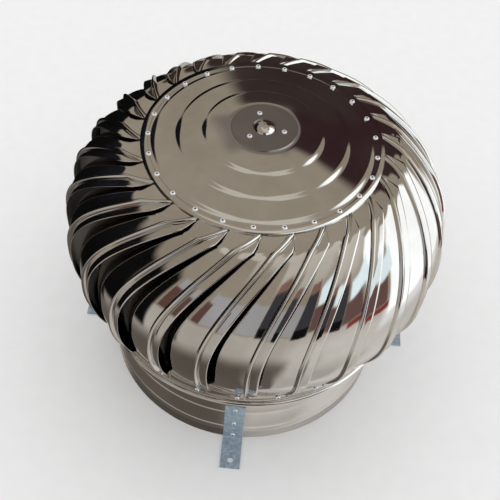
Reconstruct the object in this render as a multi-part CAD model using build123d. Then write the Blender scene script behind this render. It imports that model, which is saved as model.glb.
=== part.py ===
from build123d import *
import os
from math import acos, asin, atan2, cos, degrees, pi, radians, sin

# Roof turbine ventilator: a wind-driven ball of vanes that turns on a fixed spindle over a round throat.
# Millimetres and degrees. +Z is up. The origin is on the turning axis, level with the undersides of the feet.
# Angles around the axis are counted anticlockwise seen from above, from +X.

# ---- throat, the fixed collar on the roof ----
throat_radius = 200.0
throat_height = 160.0
sheet = 0.8
collar_groove_heights = (31.0, 72.0)
collar_groove_width = 8.0
collar_groove_depth = 1.6

# ---- feet, four angle straps outside the collar ----
foot_count = 4
foot_width = 28.0
foot_thickness = 2.0
foot_reach = 50.0
foot_height = 92.0
foot_bend = 3.0
foot_hole_radius = 4.2
foot_hole_inset = 12.0
foot_rivet_heights = (9.0, 43.0, 81.0)

# ---- rivets, one blind rivet size throughout ----
rivet_sides = 8
rivet_radius = 1.7
rivet_head_radius = 3.0
rivet_head_height = 1.2
rivet_head_taper = 35.0
rivet_tail = 1.5
rivet_clearance = 0.1
cut_margin = 1.0

# ---- strut bars across the collar, which hold the spindle ----
bar_width = 30.0
bar_thickness = 3.0
bar_tab_clearance = 0.5
bar_height = 95.0

# ---- spindle ----
spindle_radius = 9.0
journal_radius = 7.5
thread_radius = 8.0
thread_clearance = 0.2
thread_below_nut = 3.0
flange_radius = 13.0
flange_height = 4.0
nut_across_flats = 24.0
nut_height = 13.0
washer_radius = 15.0
washer_thickness = 2.5
clip_radius = 10.0
clip_thickness = 1.0
clip_groove_depth = 0.6
spindle_end = 1.0

# ---- sealed ball bearings, 15 x 35 x 11 ----
bearing_outer_radius = 17.5
bearing_width = 11.0
bearing_split_radius = 10.4
bearing_running = 0.05
bearing_seat = 0.02
spacer_radius = 10.0
lower_bearing_height = 165.0

# ---- bearing housings ----
housing_wall = 2.0
housing_flange_radius = 38.0
housing_flange = 1.5
housing_lip_radius = 14.0
housing_skirt = 3.0

# ---- turbine head ----
head_rim_height = 399.0
vane_count = 25
rest_turn = -0.5
cap_radius = 151.0
cap_rivet_circle = 142.0
cap_rivet_back = 3.5
cap_step_radii = (136.0, 105.0, 73.0)
cap_step_width = 6.0
cap_step_rise = 3.5
cap_cone_rise = 0.15
cap_flat_radius = 45.0
hub_plate_radius = 41.0
hub_plate_thickness = 1.5
hub_hole_radius = 16.0
hub_rivet_circle = 25.0
hub_rivet_count = 3
hub_rivet_turn = 108.0
dome_radius = 14.0
dome_height = 6.0
dome_steps = 3
dome_clearance = 0.3

# ---- vanes ----
vane_sheet = 0.8
head_radius = 254.0
head_half_height = 200.0
equator_drop = 146.0
flange_inner_radius = 128.0
vane_gap = 1.7
shoulder_radius = 176.0
lap_angle = 6.0
scoop_depth = 27.0
scoop_fullness = 0.7
scoop_curve = 1.5
scoop_lead = 0.12
sheet_steps = 2
bead_height = 4.0
bead_half_angle = 0.9
groove_depth = 0.8
strip_angle = 2.6
strip_root_angle = 0.5
strip_lift = 0.5
shoulder_drop_share = 0.35
sweep_total = 30.7
sweep_shoulder = 12.2
sweep_level = -10.0
sweep_power = 2.3
mouth_flare = 3.0
stations_above = 4
stations_below = 3
closing_lean = 10.8

# ---- rotor ring at the bottom of the head ----
ring_radius = 213.0
ring_below_tab = 16.0
ring_above_spider = 3.0
lip_reach = 4.0
lip_height = 8.0
lip_steps = 4
tab_clearance = 0.3
tab_length = 11.4
tab_overhang = 1.5

# ---- spider that carries the lower bearing ----
spider_arms = 3
spider_arm_width = 25.0
spider_thickness = 2.5
spider_hub_radius = 40.0
spider_tab = 16.0
spider_turn = 45.0
spider_rivet_drop = 9.0
housing_rivet_circle = 29.0

# ---- derived places ----
pitch = 360.0 / vane_count
collar_inner = throat_radius - sheet
ring_inner = ring_radius - sheet
foot_hole_circle = throat_radius + foot_reach - foot_hole_inset
bars_top = bar_height + 2 * bar_thickness
bar_tab_low = collar_groove_heights[-1] + collar_groove_width / 2 + bar_tab_clearance
cap_under = head_rim_height
flat_rise = (
    len(cap_step_radii) * cap_step_rise
    + (cap_step_radii[0] - cap_flat_radius) * cap_cone_rise
    - len(cap_step_radii) * cap_step_width * cap_cone_rise
)
hub_under = cap_under + flat_rise
hub_top = hub_under + sheet
equator_height = head_rim_height - equator_drop
tab_radius = ring_radius + tab_clearance + vane_sheet
tab_high = equator_height - head_half_height * (1.0 - (tab_radius / head_radius) ** 2) ** 0.5
tab_low = tab_high - tab_length
ring_low = tab_low - ring_below_tab
upper_bearing_top = hub_under - housing_flange
upper_bearing_height = upper_bearing_top - bearing_width
spider_height = lower_bearing_height + bearing_width / 2
spider_rivet_height = spider_height + spider_thickness - spider_rivet_drop
ring_high = spider_height + spider_thickness + ring_above_spider
shoulder_lean = degrees(acos(shoulder_radius / head_radius))
tab_lean = -degrees(acos(tab_radius / head_radius))


# ---- shared makers ----
def save(name, shape):
    shape.label = name
    export_step(shape, "parts/" + name + ".step")


def turned(points):
    outline = Plane.XZ * make_face(Polyline(*points, close=True))
    return revolve(outline, axis=Axis.Z)


def tube(outer, inner, low, high):
    return turned([(inner, low), (outer, low), (outer, high), (inner, high)])


def drill(radius, low, high):
    return Pos(0, 0, (low + high) / 2) * Cylinder(radius, high - low)


def around(count, first, shape):
    return [Rot(0, 0, first + turn * 360.0 / count) * shape for turn in range(count)]


# A rivet's head sits on the plane z = 0 and its shank runs down through the sheets to a short tail.
# Rivets and their holes are many and small, so they are drawn with a few flat sides.
def rivet(grip, tail=rivet_tail):
    head = extrude(RegularPolygon(rivet_head_radius, rivet_sides), rivet_head_height, taper=rivet_head_taper)
    shank = extrude(RegularPolygon(rivet_radius, rivet_sides), -(grip + tail))
    return head + shank


# A rivet's hole, cut both ways from the plane z = 0.
def rivet_hole(depth):
    return extrude(RegularPolygon(rivet_radius + rivet_clearance, rivet_sides), depth, both=True)


# The same rivet lying along a radius, its head outwards, its seat at the given radius. It ends flush inside.
def radial_rivet(radius, height, grip):
    return Pos(radius, 0, height) * Rot(0, 90, 0) * rivet(grip, tail=0.0)


def radial_hole(radius, height):
    return Pos(radius, 0, height) * Rot(0, 90, 0) * rivet_hole(2 * bar_thickness)


# ---- fixed base ----
# One side of the collar's wall, from the bottom up, with its rolled grooves.
def collar_wall(radius):
    points = [(radius, 0.0)]
    for height in collar_groove_heights:
        points.append((radius, height - collar_groove_width / 2))
        points.append((radius - collar_groove_depth, height))
        points.append((radius, height + collar_groove_width / 2))
    points.append((radius, throat_height))
    return points


def base_collar():
    body = turned(collar_wall(throat_radius) + collar_wall(collar_inner)[::-1])
    for height in foot_rivet_heights:
        body -= around(foot_count, 0, radial_hole(throat_radius, height))
    return body


# An angle strap: the standing leg seats on the collar and the lying leg takes the roof bolt.
def foot_strap():
    outer = throat_radius + foot_reach
    face = throat_radius + foot_thickness
    inner = throat_radius - foot_thickness
    legs = make_face(
        Polyline(
            (inner, 0),
            (outer, 0),
            (outer, foot_thickness),
            (face, foot_thickness),
            (face, foot_height),
            (inner, foot_height),
            close=True,
        )
    )
    corner = legs.vertices().sort_by_distance((face, foot_thickness, 0))[0]
    legs = fillet(corner, foot_bend)
    strap = extrude(Plane.XZ * legs, foot_width / 2, both=True)
    strap -= drill(throat_radius, -cut_margin, foot_height + cut_margin)
    strap -= Pos(foot_hole_circle, 0, foot_thickness / 2) * Cylinder(foot_hole_radius, 2 * foot_thickness)
    for height in foot_rivet_heights:
        strap -= radial_hole(face, height)
    return strap


def foot_rivets():
    seat = throat_radius + foot_thickness
    grip = foot_thickness + sheet
    made = []
    for height in foot_rivet_heights:
        behind_bar = bar_tab_low < height < bar_height
        extra = bar_thickness if behind_bar else 0.0
        made += around(foot_count, 0, radial_rivet(seat, height, grip + extra))
    return made


# A flat bar across the collar with both ends turned down and riveted to its wall.
def strut_bar(low):
    length = 2 * throat_radius
    top = low + bar_thickness
    flat = Pos(0, 0, low + bar_thickness / 2) * Box(length, bar_width, bar_thickness)
    tab_middle = (bar_tab_low + top) / 2
    tab_box = Box(2 * bar_thickness, bar_width, top - bar_tab_low)
    bar = flat + Pos(collar_inner, 0, tab_middle) * tab_box + Pos(-collar_inner, 0, tab_middle) * tab_box
    bar &= drill(collar_inner, bar_tab_low, top)
    bar -= drill(thread_radius + thread_clearance, low - cut_margin, top + cut_margin)
    bar -= around(2, 0, radial_hole(collar_inner, foot_rivet_heights[-1]))
    return bar


def spindle():
    nut_low = bar_height - washer_thickness - nut_height
    shoulder = bars_top + flange_height
    end = upper_bearing_top + clip_thickness + spindle_end
    groove_radius = journal_radius - clip_groove_depth
    return turned(
        [
            (0, nut_low - thread_below_nut),
            (thread_radius, nut_low - thread_below_nut),
            (thread_radius, bars_top),
            (flange_radius, bars_top),
            (flange_radius, shoulder),
            (spindle_radius, shoulder),
            (spindle_radius, lower_bearing_height),
            (journal_radius, lower_bearing_height),
            (journal_radius, upper_bearing_top),
            (groove_radius, upper_bearing_top),
            (groove_radius, upper_bearing_top + clip_thickness),
            (journal_radius, upper_bearing_top + clip_thickness),
            (journal_radius, end),
            (0, end),
        ]
    )


def spindle_nut():
    low = bar_height - washer_thickness - nut_height
    hexagon = RegularPolygon(nut_across_flats / 2, 6, major_radius=False)
    nut = Pos(0, 0, low) * extrude(hexagon, nut_height)
    return nut - drill(thread_radius + thread_clearance, low - cut_margin, low + nut_height + cut_margin)


def spindle_washer():
    low = bar_height - washer_thickness
    return tube(washer_radius, thread_radius + thread_clearance, low, bar_height)


def spindle_clip():
    inner = journal_radius - clip_groove_depth
    return tube(clip_radius, inner, upper_bearing_top, upper_bearing_top + clip_thickness)


def inner_race(low):
    return tube(bearing_split_radius, journal_radius + bearing_seat, low, low + bearing_width)


def outer_race(low):
    inner = bearing_split_radius + bearing_running
    return tube(bearing_outer_radius, inner, low, low + bearing_width)


def bearing_spacer():
    low = lower_bearing_height + bearing_width
    return tube(spacer_radius, journal_radius + bearing_seat, low, upper_bearing_height)


# ---- turbine head ----
# The cap's upper face, from the rim inwards: level rim, then slanted steps with shallow cones between.
def cap_line():
    points = [(cap_radius, 0.0)]
    rise = 0.0
    half = cap_step_width / 2
    next_radii = cap_step_radii[1:] + (cap_flat_radius + half,)
    for radius, following in zip(cap_step_radii, next_radii):
        points.append((radius + half, rise))
        rise += cap_step_rise
        points.append((radius - half, rise))
        rise += (radius - following - 2 * half) * cap_cone_rise
    points.append((cap_flat_radius, flat_rise))
    points.append((hub_hole_radius + dome_clearance, flat_rise))
    return points


def cap_disc():
    under = [(radius, cap_under + rise) for radius, rise in cap_line()]
    over = [(radius, height + sheet) for radius, height in reversed(under)]
    disc = turned(under + over)
    rim_hole = Pos(cap_rivet_circle, 0, cap_under) * rivet_hole(2 * sheet)
    disc -= around(vane_count, rest_turn - cap_rivet_back, rim_hole)
    hub_hole = Pos(hub_rivet_circle, 0, hub_under) * rivet_hole(2 * sheet)
    disc -= around(hub_rivet_count, hub_rivet_turn, hub_hole)
    return disc


def cap_rivets():
    one = Pos(cap_rivet_circle, 0, cap_under + sheet) * rivet(sheet + vane_sheet)
    return around(vane_count, rest_turn - cap_rivet_back, one)


def hub_plate():
    plate = tube(hub_plate_radius, dome_radius + dome_clearance, hub_top, hub_top + hub_plate_thickness)
    hole = Pos(hub_rivet_circle, 0, hub_top) * rivet_hole(2 * hub_plate_thickness)
    return plate - around(hub_rivet_count, hub_rivet_turn, hole)


def hub_rivets():
    grip = hub_plate_thickness + sheet + housing_flange
    one = Pos(hub_rivet_circle, 0, hub_top + hub_plate_thickness) * rivet(grip)
    return around(hub_rivet_count, hub_rivet_turn, one)


# A pressed dust dome: a wide rim held under the hub plate and a crown that stands through its hole.
def dust_dome():
    crown = hub_top + hub_plate_thickness + dome_height
    height = crown - hub_top
    ball = (dome_radius**2 + height**2) / (2 * height)
    reach = degrees(asin(dome_radius / ball))
    leans = [radians(reach * step / dome_steps) for step in range(dome_steps)]
    outer = [(ball * sin(lean), crown - ball + ball * cos(lean)) for lean in leans]
    inner = [(max(radius - sheet, 0.0), level - sheet) for radius, level in outer]
    rim_outer = [(dome_radius, hub_top), (hub_hole_radius, hub_top)]
    rim_inner = [(hub_hole_radius, hub_under), (dome_radius - sheet, hub_under)]
    return turned(outer + rim_outer + rim_inner + inner[::-1])


# A bearing housing is one turned cup. Its lip covers the open side of the bearing.
def housing(lip_low, lip_high, bore_low, bore_high, flange_low, rivet_circle, turn):
    bore = bearing_outer_radius + bearing_seat
    wall = bore + housing_wall
    cup = tube(wall, bore, bore_low, bore_high) + tube(wall, housing_lip_radius, lip_low, lip_high)
    cup += tube(housing_flange_radius, bore, flange_low, flange_low + housing_flange)
    hole = Pos(rivet_circle, 0, flange_low) * rivet_hole(2 * housing_flange)
    return cup - around(hub_rivet_count, turn, hole)


def upper_housing():
    lip_low = upper_bearing_top
    bore_low = upper_bearing_height - housing_skirt
    return housing(lip_low, hub_under, bore_low, hub_under, lip_low, hub_rivet_circle, hub_rivet_turn)


def lower_housing():
    lip_low = lower_bearing_height - housing_flange
    bore_high = lower_bearing_height + bearing_width
    flange_low = spider_height - housing_flange
    circle = housing_rivet_circle
    return housing(lip_low, lower_bearing_height, lip_low, bore_high, flange_low, circle, spider_turn)


# ---- vanes ----
# Each vane is a thin sheet laid through stations along its length, from the flange under the cap to the
# tab on the ring. A station has a place on the head's outline, the way the outline faces there, how far the
# bead has swept round, how far the overlaps are open, how deep the scoop is and how far the tab is shifted.
def station(radius, height, facing, sweep, opening, depth, shift):
    return {
        "radius": radius,
        "height": height,
        "facing": facing,
        "sweep": sweep,
        "opening": opening,
        "depth": depth,
        "shift": shift,
    }


def scoop_at(share):
    return scoop_depth * max(sin(pi * share), 0.0) ** scoop_fullness


# A station on the head's outline at a lean above (or below) its widest level. The free edge flares out a
# little between the shoulder and the widest level, where the scoop's mouth is open, and the overlaps close
# towards the tab.
def curve_station(lean):
    share = (shoulder_lean - lean) / (shoulder_lean - tab_lean)
    facing = degrees(atan2(head_radius * sin(radians(lean)), head_half_height * cos(radians(lean))))
    flare = mouth_flare * sin(pi * max(lean, 0.0) / shoulder_lean) ** 2
    radius = head_radius * cos(radians(lean)) + flare * cos(radians(facing))
    height = equator_height + head_half_height * sin(radians(lean)) + flare * sin(radians(facing))
    climb = max(lean - sweep_level, 0.0) / (shoulder_lean - sweep_level)
    sweep = -sweep_total + (sweep_total - sweep_shoulder) * climb**sweep_power
    opening = min(1.0, (lean - tab_lean) / closing_lean)
    depth = flare + scoop_at(scoop_lead + (1.0 - scoop_lead) * share)
    return station(radius, height, facing, sweep, opening, depth, tab_overhang * share)


def vane_stations():
    first = curve_station(shoulder_lean)
    middle_radius = (cap_radius + shoulder_radius) / 2
    middle_facing = (90.0 + first["facing"]) / 2
    middle_height = cap_under - (cap_under - first["height"]) * shoulder_drop_share
    middle_depth = scoop_at(scoop_lead / 2)
    stations = [
        station(flange_inner_radius, cap_under, 90.0, 0.0, 0.0, 0.0, 0.0),
        station(cap_radius, cap_under, 90.0, 0.0, 0.0, 0.0, 0.0),
        station(middle_radius, middle_height, middle_facing, -sweep_shoulder / 2, 0.5, middle_depth, 0.0),
    ]
    stations += [curve_station(shoulder_lean * (1 - step / stations_above)) for step in range(stations_above)]
    stations += [curve_station(tab_lean * step / stations_below) for step in range(stations_below)]
    for height in (tab_high, tab_low):
        stations.append(station(tab_radius, height, 0.0, -sweep_total, 0.0, 0.0, tab_overhang))
    return stations


# The sheet across one station, as pairs of an angle from the tip line and a depth under the outline: the
# smooth sheet from its hidden edge, the bead's foot, crest and groove, and the free edge of the strip.
def vane_section(place):
    opening = place["opening"]
    bead = place["shift"] - (bead_half_angle + strip_root_angle) * (1.0 - opening)
    foot = bead - bead_half_angle
    gap = degrees(vane_gap / place["radius"])
    hidden = place["shift"] - pitch + gap - lap_angle * opening
    rise = bead_height * opening
    section = []
    for step in range(sheet_steps):
        angle = hidden + (foot - hidden) * step / sheet_steps
        inward = (foot - angle) / (foot - hidden)
        section.append((angle, rise + place["depth"] * inward**scoop_curve))
    section.append((foot, rise))
    section.append((bead, 0.0))
    section.append((bead + bead_half_angle, rise + groove_depth * opening))
    section.append((place["shift"] + strip_angle * opening, rise - strip_lift * opening))
    return section


def vane_point(place, angle, depth):
    radius = place["radius"] - depth * cos(radians(place["facing"]))
    height = place["height"] - depth * sin(radians(place["facing"]))
    turn = radians(rest_turn + place["sweep"] + angle)
    return Vector(radius * cos(turn), radius * sin(turn), height)


# The flange's inner end is cut straight, so its points lie on the chord across the end.
def straight_end(points):
    start, end = points[0], points[-1]
    lengths = [(point - start).length for point in points]
    return [start + (end - start) * (length / lengths[-1]) for length in lengths]


# A four-cornered patch of sheet between two stations is drawn as two flat facets.
def patch(a, b, c, d):
    return [Face(Wire.make_polygon(corners, close=True)) for corners in ((a, b, c), (a, c, d))]


def vane():
    outer_rows = []
    inner_rows = []
    for place in vane_stations():
        section = vane_section(place)
        outer_rows.append([vane_point(place, angle, depth) for angle, depth in section])
        inner_rows.append([vane_point(place, angle, depth + vane_sheet) for angle, depth in section])
    outer_rows[0] = straight_end(outer_rows[0])
    inner_rows[0] = straight_end(inner_rows[0])
    faces = []
    for rows in (outer_rows, inner_rows):
        for near, far in zip(rows, rows[1:]):
            for k in range(len(near) - 1):
                faces += patch(near[k], far[k], far[k + 1], near[k + 1])
    for edge in (0, -1):
        rims = [(outer[edge], inner[edge]) for outer, inner in zip(outer_rows, inner_rows)]
        for near, far in zip(rims, rims[1:]):
            faces += patch(near[0], far[0], far[1], near[1])
    for end in (0, -1):
        faces.append(Face(Wire.make_polygon(outer_rows[end] + inner_rows[end][::-1], close=True)))
    sheet_solid = Solid(Shell(faces))
    hole = Pos(cap_rivet_circle, 0, cap_under) * rivet_hole(2 * vane_sheet)
    return sheet_solid - Rot(0, 0, rest_turn - cap_rivet_back) * hole


# ---- rotor ring, a plain band with a rolled lip at the bottom ----
def rotor_ring():
    middle = ring_low + lip_height / 2
    leans = [radians(180.0 * step / lip_steps - 90.0) for step in range(lip_steps + 1)]
    lip = [(ring_radius + lip_reach * cos(lean), middle + lip_height / 2 * sin(lean)) for lean in leans]
    band = turned([(ring_inner, ring_low)] + lip + [(ring_radius, ring_high), (ring_inner, ring_high)])
    return band - around(spider_arms, spider_turn, radial_hole(ring_radius, spider_rivet_height))


# ---- spider, three flat arms with their ends turned down inside the ring ----
def rotor_spider():
    top = spider_height + spider_thickness
    middle = spider_height + spider_thickness / 2
    reach = ring_radius / 2
    arm = Pos(reach, 0, middle) * Box(2 * reach, spider_arm_width, spider_thickness)
    tab_middle = top - spider_tab / 2
    arm += Pos(ring_inner, 0, tab_middle) * Box(2 * spider_thickness, spider_arm_width, spider_tab)
    hub = Pos(0, 0, middle) * Cylinder(spider_hub_radius, spider_thickness)
    body = hub + around(spider_arms, spider_turn, arm)
    body &= drill(ring_inner, top - spider_tab, top)
    bore = bearing_outer_radius + bearing_seat + housing_wall
    body -= drill(bore, spider_height - cut_margin, top + cut_margin)
    body -= around(spider_arms, spider_turn, radial_hole(ring_inner, spider_rivet_height))
    housing_hole = Pos(housing_rivet_circle, 0, middle) * rivet_hole(2 * spider_thickness)
    return body - around(hub_rivet_count, spider_turn, housing_hole)


# These rivets have their heads inside the ring, so that their tails clear the vanes outside.
def spider_rivets():
    seat = ring_inner - spider_thickness
    one = Pos(seat, 0, spider_rivet_height) * Rot(0, -90, 0) * rivet(spider_thickness + sheet, tail=0.0)
    made = around(spider_arms, spider_turn, one)
    top = spider_height + spider_thickness
    upright = Pos(housing_rivet_circle, 0, top) * rivet(spider_thickness + housing_flange)
    return made + around(hub_rivet_count, spider_turn, upright)


# ---- write every piece ----
os.makedirs("parts", exist_ok=True)

save("base_collar", base_collar())
for number, strap in enumerate(around(foot_count, 0, foot_strap()), start=1):
    save("foot_strap_" + str(number), strap)
save("foot_rivets", Compound(children=foot_rivets()))
save("strut_bar_lower", strut_bar(bar_height))
save("strut_bar_upper", Rot(0, 0, 90) * strut_bar(bar_height + bar_thickness))
save("spindle", spindle())
save("spindle_nut", spindle_nut())
save("spindle_washer", spindle_washer())
save("spindle_clip", spindle_clip())
save("bearing_spacer", bearing_spacer())
for name, low in (("lower_bearing", lower_bearing_height), ("upper_bearing", upper_bearing_height)):
    save(name + "_inner", inner_race(low))
    save(name + "_outer", outer_race(low))

save("cap_disc", cap_disc())
save("cap_rivets", Compound(children=cap_rivets()))
save("hub_plate", hub_plate())
save("hub_rivets", Compound(children=hub_rivets()))
save("dust_dome", dust_dome())
save("upper_housing", upper_housing())
save("lower_housing", lower_housing())
for number, blade in enumerate(around(vane_count, 0, vane()), start=1):
    save("vane_" + str(number).zfill(2), blade)
save("rotor_ring", rotor_ring())
save("rotor_spider", rotor_spider())
save("spider_rivets", Compound(children=spider_rivets()))
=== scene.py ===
from math import acos, atan2, cos, degrees, pi, radians, sin

import bmesh
import bpy
from mathutils import Matrix, Vector


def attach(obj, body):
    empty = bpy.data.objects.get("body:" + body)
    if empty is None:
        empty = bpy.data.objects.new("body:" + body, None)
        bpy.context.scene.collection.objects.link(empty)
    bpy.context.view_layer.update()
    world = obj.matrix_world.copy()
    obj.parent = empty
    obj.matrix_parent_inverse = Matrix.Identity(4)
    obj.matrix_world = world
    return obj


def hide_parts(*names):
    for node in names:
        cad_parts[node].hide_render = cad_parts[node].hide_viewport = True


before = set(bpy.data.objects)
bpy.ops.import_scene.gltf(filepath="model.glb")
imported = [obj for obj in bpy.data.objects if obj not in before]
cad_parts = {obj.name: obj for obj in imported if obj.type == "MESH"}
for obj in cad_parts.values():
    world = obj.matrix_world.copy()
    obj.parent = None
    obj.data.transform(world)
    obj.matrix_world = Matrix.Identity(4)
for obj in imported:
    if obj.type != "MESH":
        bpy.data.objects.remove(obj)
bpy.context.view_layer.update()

mm = 0.001


# hands a finished bmesh over as a piece, smooth where its faces meet at a low angle
def makePiece(bm, name, body, material, replaced=(), sharp=30):
    for face in bm.faces:
        face.smooth = True
    for edge in bm.edges:
        if len(edge.link_faces) == 2 and edge.calc_face_angle(0) > radians(sharp):
            edge.smooth = False
    mesh = bpy.data.meshes.new(name)
    bm.to_mesh(mesh)
    bm.free()
    mesh.materials.append(material)
    piece = bpy.data.objects.new(name, mesh)
    bpy.context.scene.collection.objects.link(piece)
    if replaced:
        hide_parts(*replaced)
    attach(piece, body)
    return piece


# a wall of even thickness behind the outer face, its inner side in the second material if one is given
def addWall(piece, thickness, inner=None):
    wall = piece.modifiers.new("wall", "SOLIDIFY")
    if inner:
        piece.data.materials.append(inner)
        wall.material_offset = 1
    wall.thickness = thickness * mm
    wall.offset = -1
    wall.use_even_offset = True


# spins a line of (radius, height) points in millimetres round the axis
def spinLine(points, steps, closed=False):
    bm = bmesh.new()
    verts = [bm.verts.new((radius * mm, 0, height * mm)) for radius, height in points]
    edges = [bm.edges.new(pair) for pair in zip(verts, verts[1:])]
    if closed:
        edges.append(bm.edges.new((verts[-1], verts[0])))
    bmesh.ops.spin(
        bm, geom=verts + edges, cent=(0, 0, 0), axis=(0, 0, 1), angle=2 * pi, steps=steps, use_merge=True
    )
    bmesh.ops.remove_doubles(bm, verts=bm.verts, dist=0.01 * mm)
    bmesh.ops.recalc_face_normals(bm, faces=bm.faces)
    return bm


# turns a sheet so that its faces look away from a point on the axis
def faceAway(bm, height):
    inside = Vector((0, 0, height * mm))
    looks = sum((face.calc_center_median() - inside).dot(face.normal) * face.calc_area() for face in bm.faces)
    if looks < 0:
        bmesh.ops.reverse_faces(bm, faces=bm.faces)


# rounds the corners of a line of (radius, height) points, taking at most a share of each side
def softLine(points, radius, steps=4, most=0.45):
    line = [points[0]]
    for before, corner, after in zip(points, points[1:], points[2:]):
        start = Vector(before) - Vector(corner)
        end = Vector(after) - Vector(corner)
        reach = min(radius, start.length * most, end.length * most)
        first = Vector(corner) + start.normalized() * reach
        last = Vector(corner) + end.normalized() * reach
        for step in range(steps + 1):
            share = step / steps
            bend = first * (1 - share) ** 2 + Vector(corner) * 2 * share * (1 - share) + last * share**2
            line.append((bend.x, bend.y))
    line.append(points[-1])
    return line


# a new material with its shader and its object coordinates
def newMaterial(name):
    material = bpy.data.materials.new(name)
    material.use_nodes = True
    nodes = material.node_tree.nodes
    shader = nodes["Principled BSDF"]
    place = nodes.new("ShaderNodeTexCoord")
    return material, material.node_tree, shader, place


def addNoise(tree, place, scale, detail=3.0, stretch=None, rough=0.5):
    noise = tree.nodes.new("ShaderNodeTexNoise")
    noise.inputs["Scale"].default_value = scale
    noise.inputs["Detail"].default_value = detail
    noise.inputs["Roughness"].default_value = rough
    source = place.outputs["Object"]
    if stretch:
        mapping = tree.nodes.new("ShaderNodeMapping")
        mapping.inputs["Scale"].default_value = stretch
        tree.links.new(source, mapping.inputs["Vector"])
        source = mapping.outputs["Vector"]
    tree.links.new(source, noise.inputs["Vector"])
    return noise


def addRamp(tree, source, low, high, lowPlace=0.35, highPlace=0.65):
    ramp = tree.nodes.new("ShaderNodeValToRGB")
    ramp.color_ramp.elements[0].position = lowPlace
    ramp.color_ramp.elements[1].position = highPlace
    ramp.color_ramp.elements[0].color = (*low, 1)
    ramp.color_ramp.elements[1].color = (*high, 1)
    tree.links.new(source, ramp.inputs["Fac"])
    return ramp


def addBump(tree, source, distance, strength, below=None):
    bump = tree.nodes.new("ShaderNodeBump")
    bump.inputs["Strength"].default_value = strength
    bump.inputs["Distance"].default_value = distance
    tree.links.new(source, bump.inputs["Height"])
    if below:
        tree.links.new(below.outputs["Normal"], bump.inputs["Normal"])
    return bump


# polished sheet: a clear mirror with slow waves, fine rolling marks and faint smears
def makePolished(name, s):
    material, tree, shader, place = newMaterial(name)
    smear = addNoise(tree, place, s["smearScale"], s["smearDetail"], rough=s["smearRough"])
    tint = addRamp(tree, smear.outputs["Fac"], s["dull"], s["bright"])
    tree.links.new(tint.outputs["Color"], shader.inputs["Base Color"])
    low, high = (s["roughLow"],) * 3, (s["roughHigh"],) * 3
    gloss = addRamp(tree, smear.outputs["Fac"], low, high, *s["glossRange"])
    tree.links.new(gloss.outputs["Color"], shader.inputs["Roughness"])
    wave = addNoise(tree, place, s["waveScale"], s["waveDetail"])
    bend = addBump(tree, wave.outputs["Fac"], s["waveDepth"], s["waveStrength"])
    grain = addNoise(tree, place, s["grainScale"], s["grainDetail"], s["grainStretch"])
    marks = addBump(tree, grain.outputs["Fac"], s["grainDepth"], s["grainStrength"], bend)
    tree.links.new(marks.outputs["Normal"], shader.inputs["Normal"])
    shader.inputs["Metallic"].default_value = 1.0
    return material


polishedSet = {
    "smearScale": 9.0,
    "smearDetail": 4.0,
    "smearRough": 0.6,
    "dull": (0.66, 0.63, 0.59),
    "bright": (0.80, 0.78, 0.75),
    "roughLow": 0.035,
    "roughHigh": 0.11,
    "glossRange": (0.3, 0.75),
    "waveScale": 7.0,
    "waveDetail": 1.0,
    "waveDepth": 0.0012,
    "waveStrength": 1.0,
    "grainScale": 60.0,
    "grainDetail": 2.0,
    "grainStretch": (1.0, 1.0, 14.0),
    "grainDepth": 0.00003,
    "grainStrength": 0.35,
}
satinSet = dict(polishedSet, dull=(0.36, 0.33, 0.30), bright=(0.44, 0.41, 0.38), roughLow=0.2, roughHigh=0.3)
# the vanes' inner sides are dull, and painted near black as painted shade inside the scoops
backShadeSet = dict(polishedSet, dull=(0.05, 0.045, 0.04), bright=(0.10, 0.09, 0.08), roughLow=0.25, roughHigh=0.4)
bandSet = dict(polishedSet, roughLow=0.1, roughHigh=0.2, waveScale=4.0)
vaneSteel = makePolished("vaneSteel", polishedSet)
capSteel = makePolished("capSteel", dict(polishedSet, waveScale=4.0, waveDepth=0.0008))
bandSteel = makePolished("bandSteel", bandSet)
plateSteel = makePolished("plateSteel", satinSet)
backShadeSteel = makePolished("backShadeSteel", backShadeSet)


# zinc coat: flat crystals that differ a little in tone and gloss
def makeZinc(name, s):
    material, tree, shader, place = newMaterial(name)
    crystals = tree.nodes.new("ShaderNodeTexVoronoi")
    crystals.inputs["Scale"].default_value = s["crystalScale"]
    tree.links.new(place.outputs["Object"], crystals.inputs["Vector"])
    split = tree.nodes.new("ShaderNodeSeparateColor")
    tree.links.new(crystals.outputs["Color"], split.inputs["Color"])
    tint = addRamp(tree, split.outputs["Red"], s["dark"], s["light"], 0.0, 1.0)
    tree.links.new(tint.outputs["Color"], shader.inputs["Base Color"])
    low, high = (s["roughLow"],) * 3, (s["roughHigh"],) * 3
    gloss = addRamp(tree, split.outputs["Green"], low, high, 0.0, 1.0)
    tree.links.new(gloss.outputs["Color"], shader.inputs["Roughness"])
    pits = addNoise(tree, place, s["pitScale"], s["pitDetail"])
    skin = addBump(tree, pits.outputs["Fac"], s["pitDepth"], s["pitStrength"])
    tree.links.new(skin.outputs["Normal"], shader.inputs["Normal"])
    shader.inputs["Metallic"].default_value = s["metal"]
    return material


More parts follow.
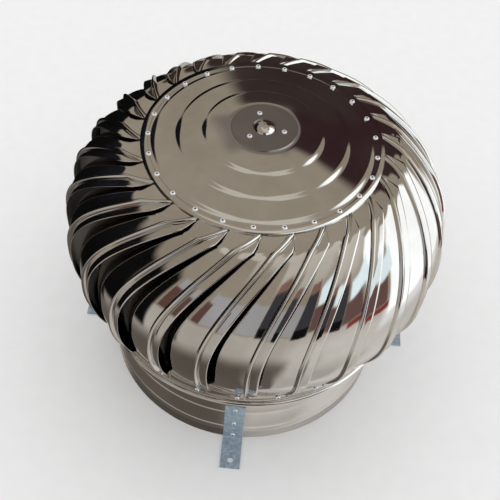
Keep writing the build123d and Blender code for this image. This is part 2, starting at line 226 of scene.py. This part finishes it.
zincSet = {
    "crystalScale": 260.0,
    "dark": (0.30, 0.38, 0.45),
    "light": (0.46, 0.56, 0.64),
    "roughLow": 0.32,
    "roughHigh": 0.5,
    "pitScale": 420.0,
    "pitDetail": 5.0,
    "pitDepth": 0.0001,
    "pitStrength": 0.6,
    "metal": 0.4,
}
strapZinc = makeZinc("strapZinc", zincSet)
barZinc = makeZinc(
    "barZinc", dict(zincSet, dark=(0.42, 0.43, 0.44), light=(0.58, 0.59, 0.60), crystalScale=400.0)
)
rivetAlloy = makeZinc(
    "rivetAlloy",
    dict(zincSet, dark=(0.84, 0.84, 0.86), light=(0.95, 0.95, 0.97), roughLow=0.2, roughHigh=0.3, metal=0.35),
)
# near-black steel for the rivets' pin ends and holes: partly the pin's darker steel, partly painted shade in
# the hole
pinSteelAndHoleShade = makeZinc(
    "pinSteelAndHoleShade",
    dict(zincSet, dark=(0.05, 0.05, 0.055), light=(0.12, 0.12, 0.13), roughLow=0.4, roughHigh=0.6, metal=0.8),
)
turnedSteel = makePolished(
    "turnedSteel",
    dict(satinSet, dull=(0.40, 0.40, 0.41), bright=(0.52, 0.52, 0.53), grainScale=400.0),
)
print("materials made")


# the vanes, close to the solids' lines but with a deeper scoop and a rounder bead: millimetres and degrees
vaneSet = {
    "count": 25,
    "restTurn": -0.5,
    "sheet": 0.8,
    "headRadius": 253.4,
    "halfHeight": 200.0,
    "rimHeight": 399.0,
    "equatorDrop": 146.0,
    "flangeRadius": 128.0,
    "capRadius": 151.0,
    "shoulderRadius": 176.0,
    "shoulderPower": 1.5,
    "tabRadius": 214.1,
    "ringRoom": 5.5,
    "tabLow": 134.0,
    "tabOverhang": 1.5,
    "gap": 1.7,
    "lap": 6.0,
    "scoopDepth": 36.0,
    "scoopFullness": 0.5,
    "scoopCurve": 1.8,
    "scoopLead": 0.08,
    "beadHeight": 4.0,
    "beadHalf": 3.2,
    "beadPower": 0.8,
    "grooveDepth": 0.8,
    "stripWidth": 15.0,
    "stripRoot": 0.4,
    "stripLift": 2.5,
    "shoulderSlant": 46.0,
    "tipOpening": 0.5,
    "tipCut": 0.6,
    "sweepTotal": 30.7,
    "sweepShoulder": 9.2,
    "sweepLevel": -10.0,
    "sweepPower": 2.7,
    "flare": 5.0,
    "flarePower": 1.5,
    "closingLean": 10.8,
    "sharpAngle": 40,
    "acrossSheet": 10,
    "acrossBead": 10,
    "acrossStrip": 6,
    "alongFlange": 2,
    "alongShoulder": 7,
    "alongCurve": 28,
    "alongTab": 2,
}


def vaneRows(s):
    return s["alongFlange"] + s["alongShoulder"] + s["alongCurve"] + s["alongTab"]


def vaneColumns(s):
    return s["acrossSheet"] + s["acrossBead"] + s["acrossStrip"]


def scoopAt(s, share):
    return s["scoopDepth"] * max(sin(pi * share), 0.0) ** s["scoopFullness"]


# the head's outline at a lean above its equator: radius, height and the angle that it faces
def outlineAt(s, lean):
    radius = s["headRadius"] * cos(radians(lean))
    height = s["rimHeight"] - s["equatorDrop"] + s["halfHeight"] * sin(radians(lean))
    facing = degrees(atan2(s["headRadius"] * sin(radians(lean)), s["halfHeight"] * cos(radians(lean))))
    return radius, height, facing


shutPlace = dict(sweep=0.0, opening=0.0, strip=0.0, depth=0.0, shift=0.0)  # no scoop, bead or strip


# the flat flange under the cap
def flangePlace(s, part):
    reach = s["capRadius"] - s["tipCut"] - s["flangeRadius"]
    return dict(
        shutPlace,
        radius=s["flangeRadius"] + reach * part,
        height=s["rimHeight"],
        facing=90.0,
        slant=s["shoulderSlant"],
    )


# from the cap's edge out to the head's round, the vane opening as it goes
def shoulderPlace(s, part, top):
    shoulderHeight, shoulderFacing = outlineAt(s, top)[1:]
    fall = part ** s["shoulderPower"]
    return dict(
        radius=s["capRadius"] + (s["shoulderRadius"] - s["capRadius"]) * part,
        height=s["rimHeight"] - (s["rimHeight"] - shoulderHeight) * fall,
        facing=90.0 + (shoulderFacing - 90.0) * part,
        sweep=-s["sweepShoulder"] * part,
        opening=s["tipOpening"] + (1.0 - s["tipOpening"]) * part,
        strip=part,
        depth=scoopAt(s, s["scoopLead"]) * fall,
        shift=0.0,
        slant=s["shoulderSlant"],
    )


# down the head's round, closing again above the ring
def curvePlace(s, part, top, low):
    lean = top + (low - top) * part
    radius, height, facing = outlineAt(s, lean)
    flare = s["flare"] * max(sin(pi * max(lean, 0.0) / top), 0.0) ** s["flarePower"]
    climb = max(lean - s["sweepLevel"], 0.0) / (top - s["sweepLevel"])
    opening = min(1.0, (lean - low) / s["closingLean"])
    depth = scoopAt(s, s["scoopLead"] + (1.0 - s["scoopLead"]) * part)
    if lean < 0:  # the scoop stays clear of the ring
        depth = min(depth, radius - s["tabRadius"] - s["ringRoom"] * opening)
    return dict(
        radius=radius + flare * cos(radians(facing)),
        height=height + flare * sin(radians(facing)),
        facing=facing,
        sweep=-s["sweepTotal"] + (s["sweepTotal"] - s["sweepShoulder"]) * climb ** s["sweepPower"],
        opening=opening,
        strip=opening,
        depth=flare + depth,
        shift=s["tabOverhang"] * part,
        slant=90.0 - (90.0 - s["shoulderSlant"]) * climb**2,
    )


# the upright tab that is riveted to the ring
def tabPlace(s, part, low):
    tabHigh = outlineAt(s, low)[1]
    return dict(
        shutPlace,
        radius=s["tabRadius"],
        height=tabHigh + (s["tabLow"] - tabHigh) * part,
        facing=0.0,
        sweep=-s["sweepTotal"],
        shift=s["tabOverhang"],
        slant=90.0,
    )


# a place along the vane, 0 at the flange's inner end and 1 at the tab's lower end
def vanePlace(s, share):
    top = degrees(acos(s["shoulderRadius"] / s["headRadius"]))
    low = -degrees(acos(s["tabRadius"] / s["headRadius"]))
    row = round(share * vaneRows(s), 4)
    if row <= s["alongFlange"]:
        return flangePlace(s, row / s["alongFlange"])
    row -= s["alongFlange"]
    if row < s["alongShoulder"]:  # its first row is the cut beside the cap
        return shoulderPlace(s, max(row - 1, 0) / (s["alongShoulder"] - 1), top)
    row -= s["alongShoulder"]
    if row < s["alongCurve"]:
        return curvePlace(s, row / s["alongCurve"], top, low)
    return tabPlace(s, (row - s["alongCurve"]) / s["alongTab"], low)


# a place across the vane: the angle from the tip line and the depth under the outline
def vaneAcross(s, place, share):
    column = share * vaneColumns(s)
    opening = place["opening"]
    spread = degrees(1 / (place["radius"] * sin(radians(place["slant"]))))  # degrees for each millimetre
    half = s["beadHalf"] * spread
    bead = place["shift"] - (half + s["stripRoot"] * spread) * (1.0 - opening)
    foot = bead - half
    hidden = place["shift"] - 360.0 / s["count"] + degrees(s["gap"] / place["radius"]) - s["lap"] * opening
    rise = s["beadHeight"] * opening
    if column <= s["acrossSheet"]:
        inward = 1.0 - column / s["acrossSheet"]
        return foot + (hidden - foot) * inward, rise + place["depth"] * inward ** s["scoopCurve"]
    column -= s["acrossSheet"]
    if column <= s["acrossBead"]:
        part = column / s["acrossBead"]
        angle = foot + 2 * half * part
        crest = sin(pi * part) ** s["beadPower"] if 0 < part < 1 else 0.0
        groove = s["grooveDepth"] * opening * max(0.0, 2 * part - 1) ** 2  # from the bead's crest outwards
        return angle, rise * (1.0 - crest) + groove
    part = (column - s["acrossBead"]) / s["acrossStrip"]
    start = bead + half
    end = place["shift"] + s["stripWidth"] * spread * place["strip"]
    groove = s["grooveDepth"] * opening * max(0.0, 1 - 4 * part)  # gone by a quarter of the strip
    return start + (end - start) * part, rise - s["stripLift"] * opening * part + groove


# a flat grid bent into one vane, its rows along the vane and its columns across
def vaneGrid(s):
    bm = bmesh.new()
    bmesh.ops.create_grid(bm, x_segments=vaneColumns(s), y_segments=vaneRows(s), size=1.0)
    for vert in bm.verts:
        place = vanePlace(s, (vert.co.y + 1) / 2)
        angle, depth = vaneAcross(s, place, (vert.co.x + 1) / 2)
        radius = place["radius"] - depth * cos(radians(place["facing"]))
        height = place["height"] - depth * sin(radians(place["facing"]))
        turn = radians(s["restTurn"] + place["sweep"] + angle)
        vert.co = Vector((radius * cos(turn), radius * sin(turn), height)) * mm
    bmesh.ops.recalc_face_normals(bm, faces=bm.faces)
    faceAway(bm, s["rimHeight"] - s["equatorDrop"])
    return bm


def makeVanes(s):
    for number in range(s["count"]):
        bm = vaneGrid(s)
        turn = Matrix.Rotation(2 * pi * number / s["count"], 4, "Z")
        bmesh.ops.transform(bm, matrix=turn, verts=bm.verts)
        tag = str(number + 1).zfill(2)
        piece = makePiece(
            bm, "vaneSheet_" + tag, "rotor", vaneSteel, ("vane_" + tag,), s["sharpAngle"]
        )
        # the inner side takes the near-black back steel: painted shade inside the scoops
        addWall(piece, s["sheet"], backShadeSteel)
    print("vanes made")


makeVanes(vaneSet)

# cap with its three pressed steps, rising a little towards the middle
capSet = {
    "rimHeight": 399.0,
    "sheet": 0.8,
    "radius": 151.0,
    "stepRadii": (136.0, 105.0, 73.0),
    "stepWidth": 6.0,
    "stepRise": 3.5,
    "coneRise": 0.15,
    "flatRadius": 45.0,
    "holeRadius": 16.3,
    "bend": 2.6,
    "steps": 160,
}


def makeCap(s):
    top = s["rimHeight"] + s["sheet"]
    half = s["stepWidth"] / 2
    line = [(s["radius"], top)]
    level = top
    following = s["stepRadii"][1:] + (s["flatRadius"] + half,)
    for radius, after in zip(s["stepRadii"], following):
        line.append((radius + half, level))
        level += s["stepRise"]
        line.append((radius - half, level))
        level += (radius - after - 2 * half) * s["coneRise"]
    line.append((s["flatRadius"], level))
    line.append((s["holeRadius"], level))
    bm = spinLine(softLine(line, s["bend"]), s["steps"])
    faceAway(bm, 0.0)
    piece = makePiece(bm, "cap", "rotor", capSteel, ("cap_disc",))
    addWall(piece, s["sheet"])
    print("cap made")
    return level


hubTop = makeCap(capSet)

# dust dome over the hub, with a dimple in its top
domeSet = {"radius": 14.0, "rise": 7.5, "rim": 16.0, "sheet": 0.8, "steps": 64, "rings": 9, "dimple": 1.1}


def makeDome(s, base):
    ball = (s["radius"] ** 2 + s["rise"] ** 2) / (2 * s["rise"])
    reach = acos(1 - s["rise"] / ball)
    line = []
    for ring in range(s["rings"] + 1):
        lean = reach * ring / s["rings"]
        line.append((ball * sin(lean), base + s["rise"] - ball + ball * cos(lean)))
    line[0] = (0.0, line[0][1] - s["dimple"])
    line.append((s["rim"], base))
    bm = spinLine(line, s["steps"])
    faceAway(bm, base - 50)  # a point well below the dome
    piece = makePiece(bm, "domeCap", "rotor", capSteel, ("dust_dome",))
    addWall(piece, s["sheet"])


makeDome(domeSet, hubTop)

# round plate riveted to the cap's middle
plateSet = {"radius": 41.0, "hole": 14.3, "thickness": 1.5, "edge": 0.3, "steps": 128}


def makeHubPlate(s, base):
    top = base + s["thickness"]
    line = [
        (s["hole"], base),
        (s["radius"], base),
        (s["radius"], top - s["edge"]),
        (s["radius"] - s["edge"], top),
        (s["hole"] + s["edge"], top),
        (s["hole"], top - s["edge"]),
    ]
    bm = spinLine(line, s["steps"], closed=True)
    makePiece(bm, "hubPlate", "rotor", plateSteel, ("hub_plate",))


makeHubPlate(plateSet, hubTop)
print("hub made")

# ring with its rolled lip
ringSet = {
    "radius": 213.0,
    "low": 118.0,
    "high": 176.0,
    "sheet": 0.8,
    "lipReach": 4.0,
    "lipHeight": 8.0,
    "lipSteps": 14,
    "steps": 200,
}


def makeRing(s):
    middle = s["low"] + s["lipHeight"] / 2
    line = []
    for step in range(s["lipSteps"] + 1):
        lean = pi * step / s["lipSteps"] - pi / 2
        line.append((s["radius"] + s["lipReach"] * cos(lean), middle + s["lipHeight"] / 2 * sin(lean)))
    line.append((s["radius"], s["high"]))
    line.append((s["radius"] - s["sheet"], s["high"]))
    line.append((s["radius"] - s["sheet"], s["low"]))
    bm = spinLine(line, s["steps"], closed=True)
    makePiece(bm, "ringBand", "rotor", bandSteel, ("rotor_ring",))


makeRing(ringSet)

# throat collar with its two rolled grooves
collarSet = {
    "radius": 200.0,
    "height": 160.0,
    "sheet": 0.8,
    "grooves": (31.0, 72.0),
    "grooveWidth": 8.0,
    "grooveDepth": 0.7,
    "grooveSteps": 8,
    "steps": 200,
}


def makeCollar(s):
    line = [(s["radius"], 0.0)]
    for height in s["grooves"]:
        for step in range(s["grooveSteps"] + 1):
            share = step / s["grooveSteps"]
            depth = s["grooveDepth"] * (1 - cos(2 * pi * share)) / 2
            line.append((s["radius"] - depth, height + s["grooveWidth"] * (share - 0.5)))
    line.append((s["radius"], s["height"]))
    bm = spinLine(line, s["steps"])
    faceAway(bm, s["height"] / 2)
    piece = makePiece(bm, "collarBand", "base", bandSteel, ("base_collar",))
    addWall(piece, s["sheet"])
    print("bands made")


makeCollar(collarSet)

# blind rivets, all of one size
rivetSet = {
    "head": 3.3,
    "rise": 1.6,
    "hole": 1.3,
    "holeDepth": 0.9,
    "holeEdge": 0.1,
    "holeLip": 0.3,
    "pin": 0.8,
    "pinRise": 0.25,
    "shank": 1.65,
    "steps": 14,
    "rings": 3,
    "sharpAngle": 40,
}

# each row of rivets in millimetres and degrees: its place, its shank's length and the first one's angle,
# which for the ring is counted from the vane's line at the tab
capRow = {"radius": 142.0, "first": -4.0, "grip": 3.0}
hubRow = {"radius": 25.0, "count": 3, "first": 108.0, "grip": 5.0}
footRow = {"radius": 202.0, "heights": (9.0, 43.0, 81.0), "count": 4, "first": 0.0, "grip": 2.8}
ringRow = {"radius": 214.9, "height": 139.5, "inTab": -1.0, "grip": 2.0}


# one blind rivet standing on z = 0, its broken pin's end and the walls of the hole round it painted near
# black in the middle: the pin's own darker steel and painted shade in the hole
def spinRivet(s, grip):
    pinTop = s["rise"] - s["holeDepth"] + s["pinRise"]
    line = [(0.0, pinTop), (s["pin"], pinTop)]
    line.append((s["hole"], s["rise"] - s["holeDepth"]))
    line.append((s["hole"], s["rise"] - s["holeEdge"]))
    lip = s["hole"] + s["holeLip"]
    for ring in range(s["rings"] + 1):
        lean = pi / 2 * ring / s["rings"]
        line.append((lip + (s["head"] - lip) * sin(lean), s["rise"] * cos(lean)))
    line.append((s["shank"], 0.0))
    line.append((s["shank"], -grip))
    line.append((0.0, -grip))
    bm = spinLine(line, s["steps"])
    # faces inside the hole take the near-black second material: painted shade in the hole over the pin's
    # darker steel
    for face in bm.faces:
        middle = face.calc_center_median()
        if middle.z > 0 and middle.xy.length < s["hole"] * mm:
            face.material_index = 1
    return bm


# one piece of many rivets, one at each place
def gatherRivets(name, body, replaced, grip, places):
    whole = bmesh.new()
    for place in places:
        one = spinRivet(rivetSet, grip)
        inMetres = Matrix.Translation(place.to_translation() * mm) @ place.to_3x3().to_4x4()
        bmesh.ops.transform(one, matrix=inMetres, verts=one.verts)
        scratch = bpy.data.meshes.new("scratch")
        one.to_mesh(scratch)
        one.free()
        whole.from_mesh(scratch)
        bpy.data.meshes.remove(scratch)
    piece = makePiece(whole, name, body, rivetAlloy, replaced, rivetSet["sharpAngle"])
    # the near-black second material: painted shade in the rivet's hole over the pin's darker steel
    piece.data.materials.append(pinSteelAndHoleShade)


# the same place again and again round the axis, evenly
def turnedPlaces(count, first, place):
    turns = [radians(first) + 2 * pi * number / count for number in range(count)]
    return [Matrix.Rotation(turn, 4, "Z") @ place for turn in turns]


outward = Matrix.Rotation(pi / 2, 4, "Y")
count = vaneSet["count"]

place = Matrix.Translation((capRow["radius"], 0, capSet["rimHeight"] + capSet["sheet"]))
places = turnedPlaces(count, capRow["first"], place)
gatherRivets("capRivets", "rotor", ("cap_rivets",), capRow["grip"], places)

place = Matrix.Translation((hubRow["radius"], 0, hubTop + plateSet["thickness"]))
places = turnedPlaces(hubRow["count"], hubRow["first"], place)
gatherRivets("hubRivets", "rotor", ("hub_rivets",), hubRow["grip"], places)

places = []
for height in footRow["heights"]:
    place = Matrix.Translation((footRow["radius"], 0, height)) @ outward
    places += turnedPlaces(footRow["count"], footRow["first"], place)
gatherRivets("footRivets", "base", ("foot_rivets",), footRow["grip"], places)

place = Matrix.Translation((ringRow["radius"], 0, ringRow["height"])) @ outward
places = turnedPlaces(count, vaneSet["restTurn"] - vaneSet["sweepTotal"] + ringRow["inTab"], place)
gatherRivets("ringRivets", "rotor", (), ringRow["grip"], places)
print("rivets made")

# the solids that stay take these materials, by the start of their names
kept = {
    "foot_strap": strapZinc,
    "strut_bar": barZinc,
    "spindle": turnedSteel,
    "bearing": turnedSteel,
    "upper_housing": barZinc,
    "lower_housing": barZinc,
    "lower_bearing": turnedSteel,
    "upper_bearing": turnedSteel,
    "rotor_spider": barZinc,
    "spider_rivets": rivetAlloy,
}
for nodeName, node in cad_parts.items():
    for start, material in kept.items():
        if nodeName.startswith(start):
            node.data.materials.clear()
            node.data.materials.append(material)
print("solids dressed")

# camera, set back from the rivet circle's centre by so many of its radii, then tilted, panned and rolled:
# metres and radians
viewSet = {
    "rimHeight": 0.3998,
    "rivetCircle": 0.142,
    "distance": 7.42,
    "elevation": 0.7587,
    "tilt": 0.1295,
    "pan": 0.0022,
    "roll": 0.1031,
    "focalPixels": 847.0,
    "sensor": 36.0,
    "clipStart": 0.05,
    "frame": 500.0,
}


def makeCamera(s):
    camera = bpy.data.cameras.new("viewCamera")
    camera.sensor_width = s["sensor"]
    camera.lens = s["focalPixels"] / s["frame"] * s["sensor"]
    camera.clip_start = s["clipStart"]
    holder = bpy.data.objects.new("viewCamera", camera)
    bpy.context.scene.collection.objects.link(holder)
    reach = s["distance"] * s["rivetCircle"]
    place = Vector((0, -cos(s["elevation"]) * reach, s["rimHeight"] + sin(s["elevation"]) * reach))
    # rows of the turn are the picture's right, down and forward in the object's frame
    forward = Vector((0, cos(s["elevation"]), -sin(s["elevation"])))
    right = Vector((1, 0, 0))
    down = forward.cross(right)
    roll = Matrix.Rotation(s["roll"], 3, "Z")
    pan = Matrix.Rotation(s["pan"], 3, "Y")
    tilt = Matrix.Rotation(s["tilt"], 3, "X")
    look = roll @ pan @ tilt @ Matrix((right, down, forward))
    axes = Matrix((look[0], -look[1], -look[2])).transposed()
    holder.matrix_world = Matrix.Translation(place) @ axes.to_4x4()
    bpy.context.scene.camera = holder
    print("camera placed")


makeCamera(viewSet)

# plain pale floor just under the feet
floorSet = {
    "size": 6.0,
    "drop": 0.0005,
    "colour": (0.9, 0.9, 0.9),
    "roughness": 0.8,
    "speckleScale": 40.0,
    "speckleDetail": 4.0,
    "speckleTone": 0.98,
}


def makeFloor(s):
    bm = bmesh.new()
    bmesh.ops.create_grid(bm, x_segments=1, y_segments=1, size=s["size"])
    bmesh.ops.translate(bm, vec=(0, 0, -s["drop"]), verts=bm.verts)
    mesh = bpy.data.meshes.new("floor")
    bm.to_mesh(mesh)
    bm.free()
    floor = bpy.data.objects.new("floor", mesh)
    bpy.context.scene.collection.objects.link(floor)
    material, tree, shader, place = newMaterial("floorPaint")
    speckle = addNoise(tree, place, s["speckleScale"], s["speckleDetail"])
    low = tuple(tone * s["speckleTone"] for tone in s["colour"])
    tint = addRamp(tree, speckle.outputs["Fac"], low, s["colour"])
    tree.links.new(tint.outputs["Color"], shader.inputs["Base Color"])
    shader.inputs["Roughness"].default_value = s["roughness"]
    mesh.materials.append(material)
    floor.visible_glossy = False  # the steel mirrors the room
    print("floor made")


makeFloor(floorSet)

# the room that the polished steel mirrors: soft-edged patches, each with its azimuth clockwise from +Y, its
# height above the horizon and its half widths, in degrees
roomSet = {
    "base": (0.34, 0.30, 0.245),
    "horizonLight": 0.45,
    "skyGain": 0.85,
    "patches": [
        {"at": (0, -47), "half": (180, 43), "soft": 4, "colour": (0.50, 0.47, 0.43)},
        {"at": (120, -52), "half": (62, 40), "soft": 34, "colour": (0.66, 0.64, 0.61)},
        {"at": (98, -22), "half": (30, 14), "soft": 16, "colour": (0.92, 0.94, 0.97)},
        {"at": (150, 62), "half": (45, 12), "soft": 16, "colour": (0.58, 0.545, 0.50)},
        {"at": (-110, -70), "half": (75, 26), "soft": 24, "colour": (0.12, 0.105, 0.09)},
        {"at": (150, -76), "half": (35, 18), "soft": 24, "colour": (0.46, 0.44, 0.41)},
        {"at": (-2, 45), "half": (15, 9), "soft": 5, "colour": (0.20, 0.17, 0.155)},
        {"at": (-152, 17), "half": (30, 19), "soft": 3, "colour": (0.40, 0.40, 0.42)},
        {"at": (-125, 12), "half": (8, 14), "soft": 3, "colour": (0.13, 0.07, 0.06)},
        {"at": (175, 25), "half": (13, 22), "soft": 3, "colour": (0.045, 0.045, 0.055)},
        {"at": (175, 49), "half": (13, 4), "soft": 3, "colour": (0.26, 0.15, 0.12)},
        {"at": (175, 0), "half": (13, 7), "soft": 3, "colour": (0.006, 0.006, 0.007)},
        {"at": (90, 14), "half": (30, 36), "soft": 7, "colour": (1.35, 1.42, 1.46)},
        {"at": (134, 36), "half": (22, 9), "soft": 5, "colour": (0.95, 1.12, 1.22)},
        {"at": (144, 12), "half": (17, 14), "soft": 3, "colour": (0.15, 0.085, 0.08)},
        {"at": (136, -7), "half": (14, 4), "soft": 3, "colour": (0.24, 0.045, 0.035)},
        {"at": (24, 20), "half": (17, 30), "soft": 4, "colour": (0.038, 0.018, 0.021)},
        {"at": (6, 10), "half": (14, 21), "soft": 5, "colour": (0.040, 0.026, 0.024)},
        {"at": (180, 73), "half": (110, 8), "soft": 7, "colour": (0.60, 0.565, 0.51)},
        {"at": (-84, -4), "half": (26, 36), "soft": 9, "colour": (0.004, 0.004, 0.004)},
        {"at": (-40, -20), "half": (32, 28), "soft": 9, "colour": (0.004, 0.004, 0.004)},
        {"at": (-48, 16), "half": (14, 15), "soft": 5, "colour": (0.006, 0.006, 0.010)},
    ],
}


def makeRoom(s):
    world = bpy.data.worlds.new("room")
    bpy.context.scene.world = world
    world.use_nodes = True
    tree = world.node_tree
    nodes, links = tree.nodes, tree.links
    sky = nodes["Background"]

    def doMath(kind, *values):
        node = nodes.new("ShaderNodeMath")
        node.operation = kind
        for socket, value in zip(node.inputs, values):
            if isinstance(value, (int, float)):
                socket.default_value = value
            else:
                links.new(value, socket)
        return node.outputs[0]

    def softEdge(distance, half, soft):
        edge = nodes.new("ShaderNodeMapRange")
        edge.interpolation_type = "SMOOTHSTEP"
        edge.inputs["From Min"].default_value = half + soft / 2
        edge.inputs["From Max"].default_value = half - soft / 2
        links.new(doMath("ABSOLUTE", distance), edge.inputs["Value"])
        return edge.outputs["Result"]

    place = nodes.new("ShaderNodeTexCoord")
    split = nodes.new("ShaderNodeSeparateXYZ")
    links.new(place.outputs["Generated"], split.inputs[0])
    azimuth = doMath("MULTIPLY", doMath("ARCTAN2", split.outputs["X"], split.outputs["Y"]), 180 / pi)
    height = doMath("MULTIPLY", doMath("ARCSINE", split.outputs["Z"]), 180 / pi)
    colour = nodes.new("ShaderNodeRGB").outputs[0]
    colour.default_value = (*s["base"], 1)
    for patch in s["patches"]:
        # the shorter way round to the patch's middle
        aside = doMath("WRAP", doMath("SUBTRACT", azimuth, patch["at"][0]), 180.0, -180.0)
        above = doMath("SUBTRACT", height, patch["at"][1])
        wide = softEdge(aside, patch["half"][0], patch["soft"])
        tall = softEdge(above, patch["half"][1], patch["soft"])
        mix = nodes.new("ShaderNodeMix")
        mix.data_type = "RGBA"  # its colour sockets are inputs 6 and 7 and output 2
        links.new(doMath("MULTIPLY", wide, tall), mix.inputs["Factor"])
        links.new(colour, mix.inputs[6])
        mix.inputs[7].default_value = (*patch["colour"], 1)
        colour = mix.outputs[2]
    links.new(colour, sky.inputs["Color"])
    # everything but a mirror sees plain soft white, brighter overhead
    plain = nodes.new("ShaderNodeBackground")
    plain.inputs["Color"].default_value = (1, 1, 1, 1)
    upward = doMath("MAXIMUM", split.outputs["Z"], 0.0)
    links.new(doMath("MULTIPLY_ADD", upward, s["skyGain"], s["horizonLight"]), plain.inputs["Strength"])
    ray = nodes.new("ShaderNodeLightPath")
    choose = nodes.new("ShaderNodeMixShader")
    links.new(ray.outputs["Is Glossy Ray"], choose.inputs[0])
    links.new(plain.outputs[0], choose.inputs[1])
    links.new(sky.outputs[0], choose.inputs[2])
    links.new(choose.outputs[0], nodes["World Output"].inputs["Surface"])
    print("room made")


makeRoom(roomSet)
bpy.context.scene.view_settings.view_transform = "Standard"
